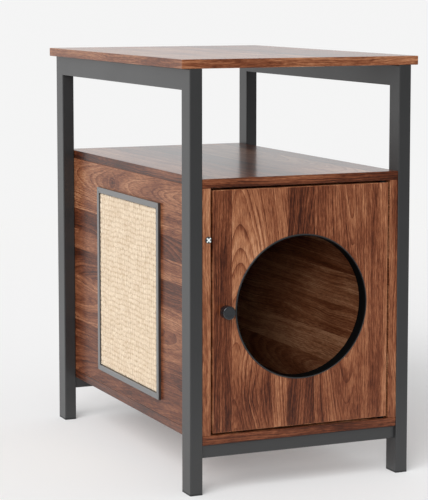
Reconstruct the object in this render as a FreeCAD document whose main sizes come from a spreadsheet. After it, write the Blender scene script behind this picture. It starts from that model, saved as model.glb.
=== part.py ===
"""Cat litter box cabinet: a walnut board cabinet with a round cat entry, in a black steel tube frame.

Millimetres. +X is to the right seen from the door, +Y runs from the door to the back, +Z is up.
The origin lies on the floor under the middle of the whole object, knob included.
"""
import FreeCAD, Part
import Sketcher
import os
import re

doc = FreeCAD.newDocument("litter_box_cabinet")
vector = FreeCAD.Vector

# ---------------------------------------------------------------- driving sizes
SIZES = [
    # steel frame
    ("frame_width", 400, "outer faces of the left and right legs"),
    ("frame_depth", 640, "front face of the front legs to rear face of the rear legs"),
    ("frame_height", 690, "floor to the top of the side frames"),
    ("tube_width", 22, "leg and top rail tube across the cabinet"),
    ("tube_depth", 35, "leg tube from front to back"),
    ("tube_wall", 1.5, "wall of every tube"),
    ("tube_corner", 2, "outer corner radius of every tube and end cap"),
    ("top_rail_height", 35, "top rail of a side frame"),
    ("lower_rail_size", 22, "square front and rear rails under the cabinet"),
    ("lower_rail_level", 59, "floor to the underside of the lower rails"),
    ("cap_thickness", 3, "plate of a leg end cap under the leg"),
    ("cap_plug_length", 12, "part of a cap that sits inside the leg"),
    ("spigot_length", 25, "block that a lower rail slides over"),
    ("spigot_floor", 10, "block left under the bolt head"),
    ("slide_clearance", 0.2, "plugs and spigots inside their tubes, each side"),
    # boards
    ("board_thickness", 15, "shelf, bottom and side boards"),
    ("top_thickness", 15, "top board"),
    ("top_overhang", 13, "top board past the legs on the left and right"),
    ("board_setback", 1.5, "board ends behind the front and rear faces of the legs"),
    ("cabin_height", 403, "bottom board to the shelf"),
    ("back_thickness", 5, "back panel"),
    ("back_inset", 8, "rear edge of the boards to the back panel"),
    ("groove_depth", 6, "grooves that hold the back panel"),
    ("groove_clearance", 0.3, "back panel in its grooves, each side"),
    # door and its round entry
    ("door_thickness", 15, "door board"),
    ("door_gap", 3.5, "gap all round the door"),
    ("entry_radius", 116.5, "clear round opening"),
    ("ring_wall", 1.6, "sleeve of the entry ring"),
    ("ring_flange_width", 3.5, "front flange past the clear opening"),
    ("ring_flange_thickness", 1.5, "front flange on the door face"),
    ("ring_tail", 5, "sleeve past the back of the door"),
    ("ring_clearance", 0.2, "sleeve in the hole of the door"),
    ("collar_width", 8, "snap collar behind the door"),
    ("collar_thickness", 3, "snap collar behind the door"),
    # knob
    ("knob_radius", 11, "round knob"),
    ("knob_length", 14, "knob in front of the door"),
    ("knob_chamfer", 1, "edge of the knob"),
    ("knob_margin", 23.5, "free edge of the door to the knob's axis"),
    ("knob_bore_depth", 9, "screw hole in the knob"),
    # pivot hinges
    ("pivot_inset", 7.5, "hinged edge of the door to the pivot axis"),
    ("pivot_radius", 2.5, "pivot pin"),
    ("pivot_clearance", 0.05, "pin in its bush"),
    ("pivot_reach", 10, "pin inside the door"),
    ("pivot_seat", 10, "pin inside the bottom board or shelf"),
    ("pivot_play", 0.2, "gap between pin collar and bush flange"),
    ("bush_wall", 1.5, "bush round the pin"),
    ("bush_length", 14, "bush inside the door"),
    ("bush_flange", 1, "bush flange on the edge of the door"),
    ("pivot_flange_radius", 5.5, "bush flange and pin collar"),
    # magnetic catch
    ("catch_width", 19, "catch from the side board inwards"),
    ("catch_depth", 15, "catch from front to back"),
    ("catch_length", 30, "magnet housing"),
    ("catch_base_length", 50, "screwed base of the catch"),
    ("catch_base_thickness", 3, "screwed base of the catch"),
    ("catch_screw_margin", 5, "end of the base to its screw"),
    ("magnet_width", 10, "magnet across"),
    ("magnet_length", 24, "magnet up and down"),
    ("magnet_depth", 4, "magnet from front to back"),
    ("magnet_gap", 0.3, "magnet to the strike plate of the shut door"),
    ("strike_width", 12, "strike plate"),
    ("strike_length", 46, "strike plate"),
    ("strike_thickness", 1.2, "strike plate"),
    ("strike_margin", 2, "free edge of the door to the strike plate"),
    ("strike_screw_margin", 4, "end of the strike plate to its screw"),
    # scratch pad on the left side
    ("pad_length", 294, "pad frame from front to back"),
    ("pad_height", 336, "pad frame up and down"),
    ("pad_shift", 4, "pad centre behind the middle of the side"),
    ("pad_frame_width", 10, "pad frame member"),
    ("pad_frame_thickness", 5, "pad frame member in front of the side board"),
    ("mat_thickness", 2, "sisal mat"),
    ("mat_clearance", 0.4, "mat to the pad frame and the board"),
    # screws, bolts and fittings
    ("bolt_radius", 3, "bolts through the tubes"),
    ("bolt_head_width", 10, "hexagonal bolt head from flat to flat"),
    ("bolt_head_height", 3.5, "bolt head"),
    ("panel_bolt_length", 24, "bolt from the cabin into a leg"),
    ("rail_bolt_length", 18, "bolt that holds a spigot to a leg"),
    ("nut_width", 10, "hexagonal nut welded inside a leg, from flat to flat"),
    ("nut_height", 5, "nut welded inside a leg"),
    ("bolt_setback", 26, "outer face of a leg to its panel bolts"),
    ("bolt_margin", 40, "cabin floor or ceiling to the panel bolts"),
    ("screw_radius", 2, "wood screws"),
    ("screw_head_radius", 4, "wood screw head"),
    ("screw_head_height", 2, "wood screw head"),
    ("screw_grip", 11, "wood screw inside a board"),
    ("access_radius", 6, "driver hole in the underside of a rail"),
    ("top_screw_spacing", 480, "screws along a top rail"),
    ("rail_screw_spacing", 240, "screws along a lower rail"),
    ("small_screw_radius", 1.5, "screws of the catch, strike plate and pad frame"),
    ("small_head_radius", 3, "small screw head"),
    ("small_head_height", 1.5, "small screw head"),
    ("small_screw_grip", 9, "small screw inside a board"),
    ("pad_screw_grip", 4, "small screw inside a pad frame member"),
    ("hole_clearance", 0.2, "hole round a bolt or screw"),
    ("edge_screw_inset", 4, "cabin face of the left board to the screw in its front edge"),
    ("edge_screw_drop", 83, "cabin ceiling down to the screw in the front edge"),
    ("edge_screw_length", 28, "screw in the front edge"),
    ("edge_screw_slope", 0.8, "sloped rim of its pan head"),
    ("cam_radius", 7.5, "cam lock"),
    ("cam_depth", 12, "cam lock in the side board"),
    ("cam_distance", 24, "end of the side board to a cam lock"),
    ("cam_setback", 60, "front or rear edge of the side board to a cam lock"),
    ("cam_pin_radius", 3, "pin that a cam lock draws in"),
    ("cam_pin_grip", 11, "pin inside the shelf or bottom board"),
    ("cam_pin_gap", 1, "tip of a pin to the middle of its cam lock"),
]
sheet = doc.addObject("Spreadsheet::Sheet", "Sizes")
for row, (alias, size, note) in enumerate(SIZES, start=1):
    sheet.set(f"A{row}", alias)
    sheet.set(f"B{row}", str(size))
    sheet.set(f"C{row}", note)
    sheet.setAlias(f"B{row}", alias)
doc.recompute()

# ---------------------------------------------------------------- places worked out from the sizes
FRONT = "((knob_length - board_setback - frame_depth) / 2)"
REAR = f"({FRONT} + frame_depth)"
LEG_X = "(frame_width / 2 - tube_width / 2)"
LEG_INNER = "(frame_width / 2 - tube_width)"
PANEL_INNER = f"({LEG_INNER} - board_thickness)"
BOARD_FRONT = f"({FRONT} + board_setback)"
BOARD_LENGTH = "(frame_depth - 2 * board_setback)"
CABIN_FLOOR = "(lower_rail_level + lower_rail_size + board_thickness)"
CABIN_CEILING = f"({CABIN_FLOOR} + cabin_height)"
DOOR_WIDTH = f"(2 * {PANEL_INNER} - 2 * door_gap)"
DOOR_HEIGHT = "(cabin_height - 2 * door_gap)"
DOOR_LEVEL = f"({CABIN_FLOOR} + cabin_height / 2)"
DOOR_BACK = f"({BOARD_FRONT} + door_thickness)"
PIVOT_X = f"({DOOR_WIDTH} / 2 - pivot_inset)"
KNOB_X = f"(-{DOOR_WIDTH} / 2 + knob_margin)"
STRIKE_X = f"(-{DOOR_WIDTH} / 2 + strike_margin + strike_width / 2)"
RAIL_CENTRE = "(lower_rail_level + lower_rail_size / 2)"
CAM_ROWS = ("cam_setback", f"{BOARD_LENGTH} - cam_setback")

# The 3-D direction of a sketch plane's normal: the XZ plane looks towards the front.
NORMAL = {"XY_Plane": 1, "XZ_Plane": -1, "YZ_Plane": 1}


def full(text):
    """A formula whose words are sizes, with the sheet's name put before each of them."""
    return re.sub(r"\b([a-z]+(?:_[a-z]+)+)\b", r"Sizes.\1", text)


def value(text):
    """The present value of such a formula."""
    return float(sheet.evalExpression(text))


# ---------------------------------------------------------------- bodies and sketches
def new_body(label, x="0", y="0", z="0"):
    """A named piece whose own origin is placed at x, y, z of the cabinet."""
    body = doc.addObject("PartDesign::Body", label)
    body.AllowCompound = True
    for axis, place in (("x", x), ("y", y), ("z", z)):
        body.setExpression(f"Placement.Base.{axis}", full(place))
    return body


def origin_feature(body, role):
    return [feature for feature in body.Origin.OriginFeatures if feature.Role == role][0]


def new_sketch(body, plane, level="0"):
    """A sketch on one of the body's planes, moved to a level along the axis across that plane."""
    sketch = body.newObject("Sketcher::SketchObject", f"{body.Label}_sketch")
    sketch.AttachmentSupport = [(origin_feature(body, plane), "")]
    sketch.MapMode = "FlatFace"
    sketch.setExpression("AttachmentOffset.Base.z", full(f"{NORMAL[plane]} * ({level})"))
    return sketch


def fix_point(sketch, geometry, point, x, y):
    """Ties a point of the geometry to the sketch's origin by two formulas."""
    for kind, text in (("DistanceX", x), ("DistanceY", y)):
        index = sketch.addConstraint(Sketcher.Constraint(kind, -1, 1, geometry, point, value(text)))
        sketch.setExpression(f"Constraints[{index}]", full(text))


def outline(sketch, corners):
    """A closed outline of straight lines through the corners."""
    points = [vector(value(x), value(y), 0) for x, y in corners]
    first = sketch.GeometryCount
    for index, point in enumerate(points):
        sketch.addGeometry(Part.LineSegment(point, points[(index + 1) % len(points)]), False)
    for index in range(len(points)):
        following = first + (index + 1) % len(points)
        sketch.addConstraint(Sketcher.Constraint("Coincident", first + index, 2, following, 1))
    for index, (x, y) in enumerate(corners):
        fix_point(sketch, first + index, 1, x, y)


def rectangle(sketch, x_low, y_low, x_high, y_high):
    outline(sketch, [(x_low, y_low), (x_high, y_low), (x_high, y_high), (x_low, y_high)])


def rounded_rectangle(sketch, width, height, radius):
    """A rectangle about the sketch's origin with round corners."""
    half_x, half_y, corner = value(width) / 2, value(height) / 2, value(radius)
    first = sketch.GeometryCount
    turn = FreeCAD.Rotation(vector(0, 0, 1), 90)
    sides = [
        (vector(-half_x + corner, -half_y, 0), vector(half_x - corner, -half_y, 0)),
        (vector(half_x, -half_y + corner, 0), vector(half_x, half_y - corner, 0)),
        (vector(half_x - corner, half_y, 0), vector(-half_x + corner, half_y, 0)),
        (vector(-half_x, half_y - corner, 0), vector(-half_x, -half_y + corner, 0)),
    ]
    for start, end in sides:
        sketch.addGeometry(Part.LineSegment(start, end), False)
    for index, (start, end) in enumerate(sides):
        along = (end - start).normalize()
        centre = end + turn.multVec(along) * corner
        middle = centre + (along - turn.multVec(along)).normalize() * corner
        sketch.addGeometry(Part.Arc(end, middle, sides[(index + 1) % 4][0]), False)
    for index in range(4):
        arc = first + 4 + index
        sketch.addConstraint(Sketcher.Constraint("Tangent", first + index, 2, arc, 1))
        sketch.addConstraint(Sketcher.Constraint("Tangent", arc, 2, first + (index + 1) % 4, 1))
        if index:
            sketch.addConstraint(Sketcher.Constraint("Equal", first + 4, arc))
    sketch.addConstraint(Sketcher.Constraint("Horizontal", first))
    sketch.addConstraint(Sketcher.Constraint("Vertical", first + 1))
    sketch.addConstraint(Sketcher.Constraint("Horizontal", first + 2))
    sketch.addConstraint(Sketcher.Constraint("Vertical", first + 3))
    index = sketch.addConstraint(Sketcher.Constraint("Radius", first + 4, corner))
    sketch.setExpression(f"Constraints[{index}]", full(radius))
    for kind, line, sign, text in (
        ("DistanceY", 0, -1, height), ("DistanceX", 1, 1, width),
        ("DistanceY", 2, 1, height), ("DistanceX", 3, -1, width),
    ):
        half = f"{sign} * ({text}) / 2"
        index = sketch.addConstraint(Sketcher.Constraint(kind, -1, 1, first + line, 1, value(half)))
        sketch.setExpression(f"Constraints[{index}]", full(half))


def tube_section(sketch, width, height):
    """A hollow section: the outer outline and the inner one, a wall apart."""
    rounded_rectangle(sketch, width, height, "tube_corner")
    half_x, half_y = f"({width} / 2 - tube_wall)", f"({height} / 2 - tube_wall)"
    rectangle(sketch, f"-{half_x}", f"-{half_y}", half_x, half_y)


def circles(sketch, centres, radius):
    for x, y in centres:
        circle = Part.Circle(vector(value(x), value(y), 0), vector(0, 0, 1), value(radius))
        index = sketch.addGeometry(circle, False)
        constraint = sketch.addConstraint(Sketcher.Constraint("Radius", index, value(radius)))
        sketch.setExpression(f"Constraints[{constraint}]", full(radius))
        fix_point(sketch, index, 3, x, y)


def hexagons(sketch, centres, across):
    """Hexagons that are so wide from flat to flat, as nuts and bolt heads are."""
    flat = f"({across}) / 2"
    point = f"({across}) / sqrt(3)"
    for x, y in centres:
        outline(sketch, [
            (f"{x} + {point}", y), (f"{x} + {point} / 2", f"{y} + {flat}"),
            (f"{x} - {point} / 2", f"{y} + {flat}"), (f"{x} - {point}", y),
            (f"{x} - {point} / 2", f"{y} - {flat}"), (f"{x} + {point} / 2", f"{y} - {flat}"),
        ])


# ---------------------------------------------------------------- features
def plane_sign(sketch):
    return NORMAL[sketch.AttachmentSupport[0][0].Role]


def extrude(body, sketch, length, toward=1):
    """Adds the sketch's outline, drawn out towards the higher (1) or lower (-1) coordinates."""
    pad = body.newObject("PartDesign::Pad", f"{body.Label}_pad")
    pad.Profile = sketch
    pad.Reversed = toward != plane_sign(sketch)
    pad.setExpression("Length", full(length))
    doc.recompute()
    return pad


def cut(body, sketch, depth, toward):
    """Takes the sketch's outline out of the piece to a depth, and makes sure that it did."""
    before = body.Shape.Volume
    pocket = body.newObject("PartDesign::Pocket", f"{body.Label}_pocket")
    pocket.Profile = sketch
    pocket.Reversed = toward != -plane_sign(sketch)
    pocket.setExpression("Length", full(depth))
    doc.recompute()
    if not body.Shape.Volume < before:
        raise RuntimeError(f"{pocket.Name} cuts nothing")
    return pocket


def turned(body, plane, corners):
    """A solid of revolution: corners are (radius, height) along the plane's upright axis."""
    sketch = new_sketch(body, plane)
    outline(sketch, corners)
    turn = body.newObject("PartDesign::Revolution", f"{body.Label}_turn")
    turn.Profile = sketch
    turn.ReferenceAxis = (sketch, ["V_Axis"])
    turn.Angle = 360
    doc.recompute()
    return turn


def mirrored(body, features):
    """Repeats the features on the other side of the body's YZ plane."""
    mirror = body.newObject("PartDesign::Mirrored", f"{body.Label}_mirror")
    mirror.Originals = features
    mirror.MirrorPlane = (origin_feature(body, "YZ_Plane"), [""])
    body.Tip = mirror
    doc.recompute()
    return mirror


def bored(body, plane, level, centres, radius, depth, toward):
    """Round holes from a level into the piece."""
    sketch = new_sketch(body, plane, level)
    circles(sketch, centres, radius)
    cut(body, sketch, depth, toward)


# ---------------------------------------------------------------- steel frame
SIDES = (("left", -1), ("right", 1))
ENDS = (("front", 1), ("rear", -1))
LEG_BOLT_LEVELS = (f"{CABIN_FLOOR} + bolt_margin", f"{CABIN_CEILING} - bolt_margin")


def leg(side, side_sign, end, inward):
    """An upright tube, mitred at the top, with bolt holes in the wall that faces the cabinet."""
    y = f"{FRONT} + tube_depth / 2" if inward > 0 else f"{REAR} - tube_depth / 2"
    body = new_body(f"{side}_{end}_leg", f"{side_sign} * {LEG_X}", y, "cap_thickness")
    section = new_sketch(body, "XY_Plane")
    tube_section(section, "tube_width", "tube_depth")
    extrude(body, section, "frame_height - cap_thickness")
    mitre = new_sketch(body, "YZ_Plane", "-tube_width / 2")
    top = "frame_height - cap_thickness"
    outline(mitre, [(f"{-inward} * tube_depth / 2", top), (f"{inward} * tube_depth / 2", top),
                    (f"{inward} * tube_depth / 2", f"{top} - top_rail_height")])
    cut(body, mitre, "tube_width", 1)
    bolt_y = f"{inward} * (bolt_setback - tube_depth / 2)"
    places = [(bolt_y, f"{level} - cap_thickness") for level in LEG_BOLT_LEVELS]
    places.append(("0", f"{RAIL_CENTRE} - cap_thickness"))
    bored(body, "YZ_Plane", f"{-side_sign} * tube_width / 2", places,
          "bolt_radius + hole_clearance", "tube_wall", side_sign)
    return body


def top_rail(side, side_sign):
    """The top of a side frame, mitred at both ends, with screw and driver holes."""
    body = new_body(f"{side}_top_rail", f"{side_sign} * {LEG_X}", f"{FRONT} + frame_depth / 2",
                    "frame_height - top_rail_height / 2")
    section = new_sketch(body, "XZ_Plane", "-frame_depth / 2")
    tube_section(section, "tube_width", "top_rail_height")
    extrude(body, section, "frame_depth")
    mitres = new_sketch(body, "YZ_Plane", "-tube_width / 2")
    for sign in (-1, 1):
        outline(mitres, [
            (f"{sign} * frame_depth / 2", "top_rail_height / 2"),
            (f"{sign} * frame_depth / 2", "-top_rail_height / 2"),
            (f"{sign} * (frame_depth / 2 - tube_depth)", "-top_rail_height / 2"),
        ])
    cut(body, mitres, "tube_width", 1)
    places = [("0", f"{sign} * top_screw_spacing / 2") for sign in (-1, 1)]
    bored(body, "XY_Plane", "top_rail_height / 2", places, "screw_radius + hole_clearance",
          "tube_wall", -1)
    bored(body, "XY_Plane", "-top_rail_height / 2", places, "access_radius", "tube_wall", 1)
    return body


def lower_rail(end, y):
    """A square tube between the side frames that carries the bottom board."""
    body = new_body(f"{end}_lower_rail", "0", y, RAIL_CENTRE)
    section = new_sketch(body, "YZ_Plane", f"-{LEG_INNER}")
    tube_section(section, "lower_rail_size", "lower_rail_size")
    extrude(body, section, f"2 * {LEG_INNER}")
    places = [(f"{sign} * rail_screw_spacing / 2", "0") for sign in (-1, 1)]
    bored(body, "XY_Plane", "lower_rail_size / 2", places, "screw_radius + hole_clearance",
          "tube_wall", -1)
    bored(body, "XY_Plane", "-lower_rail_size / 2", places, "access_radius", "tube_wall", 1)
    return body


def leg_end_caps():
    """Four plastic caps plugged into the legs; the part stands on them."""
    body = new_body("leg_end_caps", f"-{LEG_X}", f"{FRONT} + tube_depth / 2", "0")
    plate = new_sketch(body, "XY_Plane")
    rounded_rectangle(plate, "tube_width", "tube_depth", "tube_corner")
    foot = extrude(body, plate, "cap_thickness")
    plug = new_sketch(body, "XY_Plane", "cap_thickness")
    half_x, half_y = (f"({size} / 2 - tube_wall - slide_clearance)"
                      for size in ("tube_width", "tube_depth"))
    rectangle(plug, f"-{half_x}", f"-{half_y}", half_x, half_y)
    stem = extrude(body, plug, "cap_plug_length")
    pattern = body.newObject("PartDesign::LinearPattern", "leg_end_caps_pattern")
    pattern.Originals = [foot, stem]
    pattern.Direction = (origin_feature(body, "X_Axis"), [""])
    pattern.setExpression("Length", full(f"2 * {LEG_X}"))
    pattern.Occurrences = 2
    pattern.Direction2 = (origin_feature(body, "Y_Axis"), [""])
    pattern.setExpression("Length2", full("frame_depth - tube_depth"))
    pattern.Occurrences2 = 2
    body.Tip = pattern
    doc.recompute()
    return body


RAIL_ROWS = ("tube_depth / 2", "frame_depth - tube_depth / 2")
RAIL_BOLTS = [(y, "-board_thickness - lower_rail_size / 2") for y in RAIL_ROWS]
PANEL_BOLTS = [(y, z) for y in ("bolt_setback", "frame_depth - bolt_setback")
               for z in ("bolt_margin", "cabin_height - bolt_margin")]


def rail_spigots():
    """Blocks bolted to the legs inside the ends of the lower rails."""
    body = new_body("rail_spigots", "0", FRONT, CABIN_FLOOR)
    block = new_sketch(body, "YZ_Plane", f"-{LEG_INNER}")
    half = "(lower_rail_size / 2 - tube_wall - slide_clearance)"
    for y, z in RAIL_BOLTS:
        rectangle(block, f"{y} - {half}", f"{z} - {half}", f"{y} + {half}", f"{z} + {half}")
    circles(block, RAIL_BOLTS, "bolt_radius + hole_clearance")
    blocks = extrude(body, block, "spigot_length")
    recess = new_sketch(body, "YZ_Plane", f"-{LEG_INNER} + spigot_length")
    circles(recess, RAIL_BOLTS, "bolt_head_width / sqrt(3) + hole_clearance")
    recesses = cut(body, recess, "spigot_length - spigot_floor", -1)
    mirrored(body, [blocks, recesses])
    return body


def bolts(label, places, level, length):
    """Hexagon bolts from a level into the left legs, repeated on the right."""
    body = new_body(label, "0", FRONT, CABIN_FLOOR)
    shank_sketch = new_sketch(body, "YZ_Plane", level)
    circles(shank_sketch, places, "bolt_radius")
    shanks = extrude(body, shank_sketch, length, -1)
    head_sketch = new_sketch(body, "YZ_Plane", level)
    hexagons(head_sketch, places, "bolt_head_width")
    heads = extrude(body, head_sketch, "bolt_head_height")
    mirrored(body, [shanks, heads])
    return body


def leg_weld_nuts():
    body = new_body("leg_weld_nuts", "0", FRONT, CABIN_FLOOR)
    sketch = new_sketch(body, "YZ_Plane", f"-{LEG_INNER} - tube_wall")
    hexagons(sketch, PANEL_BOLTS + RAIL_BOLTS, "nut_width")
    circles(sketch, PANEL_BOLTS + RAIL_BOLTS, "bolt_radius + hole_clearance")
    mirrored(body, [extrude(body, sketch, "nut_height", -1)])
    return body


# ---------------------------------------------------------------- boards
TOP_SCREWS = [(f"{side} * {LEG_X}", f"{end} * top_screw_spacing / 2")
              for side in (-1, 1) for end in (-1, 1)]
RAIL_SCREWS = [(f"{sign} * rail_screw_spacing / 2", y) for sign in (-1, 1) for y in RAIL_ROWS]
CAM_PINS = [(f"{sign} * ({PANEL_INNER} + board_thickness / 2)", y)
            for sign in (-1, 1) for y in CAM_ROWS]
GROOVE_LOW = f"({BOARD_LENGTH} - back_inset - back_thickness - groove_clearance)"
GROOVE_HIGH = f"({BOARD_LENGTH} - back_inset + groove_clearance)"


def top_panel():
    body = new_body("top_panel", "0", f"{FRONT} + frame_depth / 2", "frame_height")
    board = new_sketch(body, "XY_Plane")
    rectangle(board, "-frame_width / 2 - top_overhang", "-frame_depth / 2",
              "frame_width / 2 + top_overhang", "frame_depth / 2")
    extrude(body, board, "top_thickness")
    bored(body, "XY_Plane", "0", TOP_SCREWS, "screw_radius", "screw_grip", 1)
    return body


def level_board(label, level, inner_level, outward):
    """The shelf or the bottom board, grooved for the back panel on its cabin side."""
    body = new_body(label, "0", BOARD_FRONT, level)
    board = new_sketch(body, "XY_Plane")
    rectangle(board, f"-{LEG_INNER}", "0", LEG_INNER, BOARD_LENGTH)
    extrude(body, board, "board_thickness")
    groove = new_sketch(body, "XY_Plane", inner_level)
    rectangle(groove, f"-{PANEL_INNER} - groove_depth", GROOVE_LOW,
              f"{PANEL_INNER} + groove_depth", GROOVE_HIGH)
    cut(body, groove, "groove_depth", outward)
    bored(body, "XY_Plane", inner_level, CAM_PINS, "cam_pin_radius", "cam_pin_grip", outward)
    bored(body, "XY_Plane", inner_level, [(PIVOT_X, "door_thickness / 2")],
          "pivot_radius", "pivot_seat", outward)
    return body


def bottom_panel():
    body = level_board("bottom_panel", f"{CABIN_FLOOR} - board_thickness", "board_thickness", -1)
    places = [(x, f"{y} - board_setback") for x, y in RAIL_SCREWS]
    bored(body, "XY_Plane", "0", places, "screw_radius", "screw_grip", 1)
    return body


def side_panel(side, sign):
    """A side board, modelled outwards from its cabin face, with holes for its fittings."""
    body = new_body(f"{side}_side_panel", f"{sign} * {PANEL_INNER}", BOARD_FRONT, CABIN_FLOOR)
    board = new_sketch(body, "YZ_Plane")
    rectangle(board, "0", "0", BOARD_LENGTH, "cabin_height")
    extrude(body, board, "board_thickness", sign)
    groove = new_sketch(body, "XY_Plane")
    rectangle(groove, "0", GROOVE_LOW, f"{sign} * groove_depth", GROOVE_HIGH)
    cut(body, groove, "cabin_height", 1)
    places = [(f"{y} - board_setback", z) for y, z in PANEL_BOLTS]
    bored(body, "YZ_Plane", "0", places, "bolt_radius + hole_clearance", "board_thickness", sign)
    cams = [(y, z) for y in CAM_ROWS for z in ("cam_distance", "cabin_height - cam_distance")]
    bored(body, "YZ_Plane", "0", cams, "cam_radius", "cam_depth", sign)
    pins = [(f"{sign} * board_thickness / 2", y) for y in CAM_ROWS]
    pin_bore = "cam_pin_radius + hole_clearance"
    bored(body, "XY_Plane", "0", pins, pin_bore, "cam_distance", 1)
    bored(body, "XY_Plane", "cabin_height", pins, pin_bore, "cam_distance", -1)
    return body


PAD_LEVEL = "(lower_rail_level + lower_rail_size + (board_thickness + cabin_height) / 2)"
PAD_Y = f"({FRONT} + frame_depth / 2 + pad_shift)"
PAD_SCREWS = {
    "top": [("0", "pad_height / 2 - pad_frame_width / 2")],
    "bottom": [("0", "-pad_height / 2 + pad_frame_width / 2")],
    "front": [("-pad_length / 2 + pad_frame_width / 2", "0")],
    "rear": [("pad_length / 2 - pad_frame_width / 2", "0")],
}
ALL_PAD_SCREWS = [place for places in PAD_SCREWS.values() for place in places]
CATCH_Y = f"({DOOR_BACK} + strike_thickness + magnet_gap)"
CATCH_SCREWS = [("catch_depth / 2", f"{sign} * (catch_base_length / 2 - catch_screw_margin)")
                for sign in (-1, 1)]


def left_side_panel():
    """The left board also holds the catch, the scratch pad and the screw in its front edge."""
    body = side_panel("left", -1)
    catch = [(f"{y} + {CATCH_Y} - {BOARD_FRONT}", f"{z} + cabin_height / 2")
             for y, z in CATCH_SCREWS]
    bored(body, "YZ_Plane", "0", catch, "small_screw_radius", "small_screw_grip", -1)
    pad = [(f"{y} + {PAD_Y} - {BOARD_FRONT}", f"{z} + {PAD_LEVEL} - {CABIN_FLOOR}")
           for y, z in ALL_PAD_SCREWS]
    bored(body, "YZ_Plane", "0", pad, "small_screw_radius + hole_clearance", "board_thickness", -1)
    edge = [("-edge_screw_inset", "cabin_height - edge_screw_drop")]
    bored(body, "XZ_Plane", "0", edge, "screw_radius", "edge_screw_length", 1)
    return body


def back_panel():
    body = new_body("back_panel", "0", f"{BOARD_FRONT} + {GROOVE_LOW} + groove_clearance",
                    CABIN_FLOOR)
    board = new_sketch(body, "XZ_Plane")
    tongue = "(groove_depth - groove_clearance)"
    rectangle(board, f"-{PANEL_INNER} - {tongue}", f"-{tongue}",
              f"{PANEL_INNER} + {tongue}", f"cabin_height + {tongue}")
    extrude(body, board, "back_thickness")
    return body


# ---------------------------------------------------------------- board fasteners
def screws(label, y, z, places, seat):
    """Wood screws whose heads sit inside a tube, on the wall below the board."""
    body = new_body(label, "0", y, z)
    shank_sketch = new_sketch(body, "XY_Plane", seat)
    circles(shank_sketch, places, "screw_radius")
    extrude(body, shank_sketch, "tube_wall + screw_grip")
    head_sketch = new_sketch(body, "XY_Plane", seat)
    circles(head_sketch, places, "screw_head_radius")
    extrude(body, head_sketch, "screw_head_height", -1)
    return body


def edge_screw():
    """The one pan-head screw that shows, in the front edge of the left board."""
    body = new_body("edge_screw", f"-{PANEL_INNER} - edge_screw_inset", BOARD_FRONT,
                    f"{CABIN_CEILING} - edge_screw_drop")
    turned(body, "XY_Plane", [
        ("0", "-screw_head_height"), ("screw_head_radius - edge_screw_slope", "-screw_head_height"),
        ("screw_head_radius", "-screw_head_height + edge_screw_slope"),
        ("screw_head_radius", "0"), ("screw_radius", "0"), ("screw_radius", "edge_screw_length"),
        ("0", "edge_screw_length"),
    ])
    return body


def cam_locks(side, sign):
    """Four cam locks let into a side board from the cabin, each slotted for its pin."""
    body = new_body(f"{side}_cam_locks", f"{sign} * {PANEL_INNER}", BOARD_FRONT, CABIN_FLOOR)
    cams = new_sketch(body, "YZ_Plane")
    heights = (("cam_distance", -1), ("cabin_height - cam_distance", 1))
    circles(cams, [(y, z) for y in CAM_ROWS for z, _ in heights], "cam_radius")
    extrude(body, cams, "cam_depth", sign)
    half = "(cam_pin_radius + hole_clearance)"
    middle = f"{sign} * board_thickness / 2"
    for height, toward in heights:
        slots = new_sketch(body, "XY_Plane", height)
        for y in CAM_ROWS:
            rectangle(slots, f"{middle} - {half}", f"{y} - {half}",
                      f"{middle} + {half}", f"{y} + {half}")
        cut(body, slots, "cam_radius", toward)
    return body


def cam_pins(label, level, upward):
    """Pins from the cam locks up into the shelf or down into the bottom board."""
    body = new_body(label, "0", BOARD_FRONT, level)
    sketch = new_sketch(body, "XY_Plane", f"{-upward} * (cam_distance - cam_pin_gap)")
    circles(sketch, CAM_PINS, "cam_pin_radius")
    extrude(body, sketch, "cam_distance - cam_pin_gap + cam_pin_grip", upward)
    return body


# ---------------------------------------------------------------- door
STRIKE_SCREWS = [("0", f"{sign} * (strike_length / 2 - strike_screw_margin)")
                 for sign in (-1, 1)]


def door_panel():
    body = new_body("door_panel", "0", BOARD_FRONT, DOOR_LEVEL)
    board = new_sketch(body, "XZ_Plane")
    rectangle(board, f"-{DOOR_WIDTH} / 2", f"-{DOOR_HEIGHT} / 2",
              f"{DOOR_WIDTH} / 2", f"{DOOR_HEIGHT} / 2")
    circles(board, [("0", "0")],
            "entry_radius + ring_wall + ring_clearance")
    circles(board, [(KNOB_X, "0")], "screw_radius + hole_clearance")
    extrude(body, board, "door_thickness")
    for sign in (-1, 1):
        bored(body, "XY_Plane", f"{sign} * {DOOR_HEIGHT} / 2", [(PIVOT_X, "door_thickness / 2")],
              "pivot_radius + pivot_clearance + bush_wall", "bush_length", -sign)
    strike = [(f"{x} + {STRIKE_X}", z) for x, z in STRIKE_SCREWS]
    bored(body, "XZ_Plane", "door_thickness", strike, "small_screw_radius", "small_screw_grip", -1)
    return body


def entry_ring():
    """The black ring: a thin flange on the door and a sleeve through it."""
    body = new_body("entry_ring", "0", BOARD_FRONT, DOOR_LEVEL)
    outer = "entry_radius + ring_wall"
    rim = "entry_radius + ring_flange_width"
    turned(body, "XY_Plane", [
        ("entry_radius", "-ring_flange_thickness / 2"),
        ("entry_radius + ring_flange_thickness / 2", "-ring_flange_thickness"),
        (f"{rim} - ring_flange_thickness / 2", "-ring_flange_thickness"),
        (rim, "-ring_flange_thickness / 2"), (rim, "0"), (outer, "0"),
        (outer, "door_thickness + ring_tail"), ("entry_radius", "door_thickness + ring_tail"),
    ])
    return body


def ring_collar():
    """The collar that snaps over the sleeve behind the door and holds the ring."""
    body = new_body("ring_collar", "0", DOOR_BACK, DOOR_LEVEL)
    inner = "entry_radius + ring_wall + ring_clearance"
    outer = f"{inner} + collar_width"
    turned(body, "XY_Plane", [
        (inner, "0"), (outer, "0"), (outer, "collar_thickness"), (inner, "collar_thickness"),
    ])
    return body


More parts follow.
